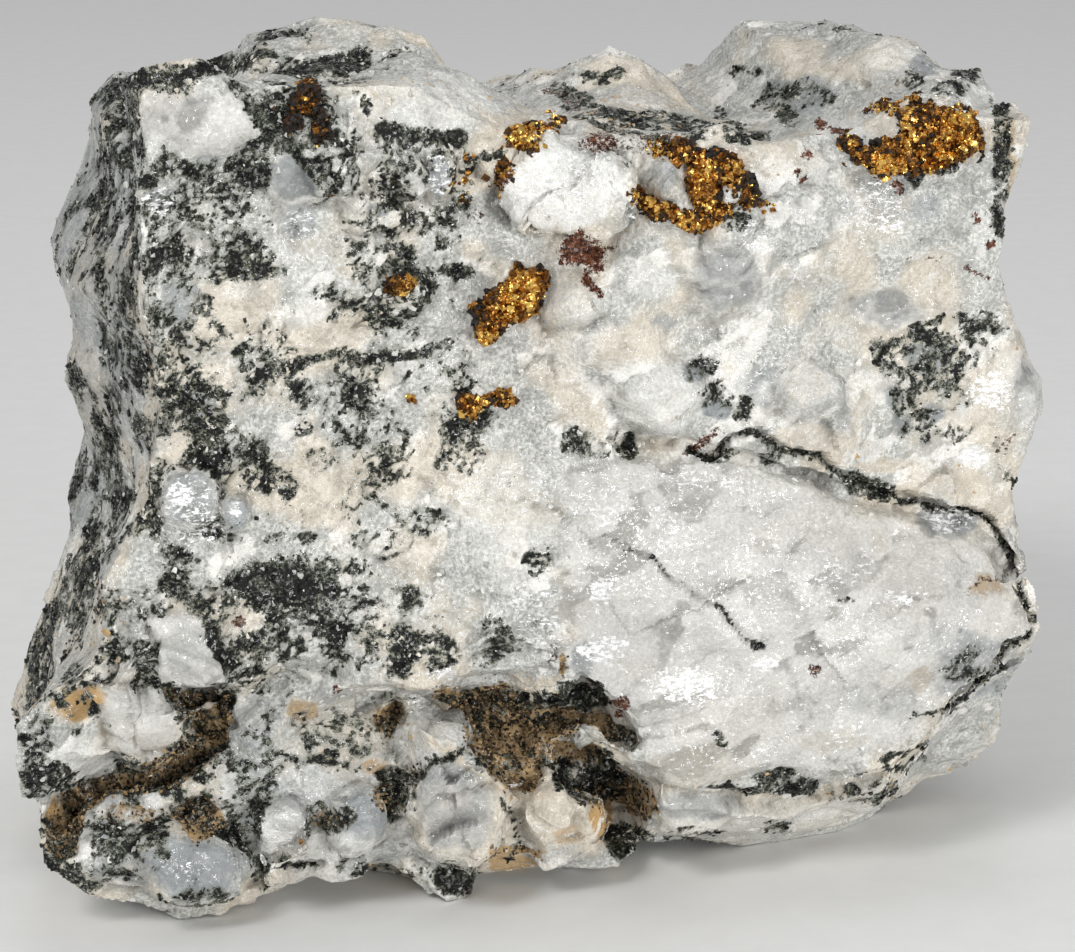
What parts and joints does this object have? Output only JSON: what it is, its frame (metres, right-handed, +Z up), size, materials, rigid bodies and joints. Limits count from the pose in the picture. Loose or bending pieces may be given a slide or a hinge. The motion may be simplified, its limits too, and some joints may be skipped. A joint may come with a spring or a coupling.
{
  "type": "mineral specimen",
  "caption": "Hand-sized broken block of milky vein quartz that stands on its flat underside, with granular masses of chalcopyrite seated in pockets of its front face.",
  "frame": {"origin": "under the middle of the bounding box, on the flat that the block stands on", "axes": "+Z up as it stands, the broken face with the chalcopyrite towards -Y, +X to the right of someone looking at that face"},
  "size_m": [0.0938, 0.0618, 0.0754],
  "materials": {
    "milky_quartz": "broken, sugary to glassy, opaque milky white with grey, green-black and rusty stains",
    "chalcopyrite": "granular, bright brassy gold with bronze and brown-black tarnish"
  },
  "bodies": {
    "root": {"quartz_block": "milky_quartz", "chalcopyrite_upper_right": "chalcopyrite", "chalcopyrite_beside_crystal": "chalcopyrite", "chalcopyrite_middle": "chalcopyrite", "chalcopyrite_above_crystal": "chalcopyrite", "chalcopyrite_small": "chalcopyrite", "chalcopyrite_upper_left": "chalcopyrite", "chalcopyrite_dark_ring": "chalcopyrite"}
  },
  "joints": []
}
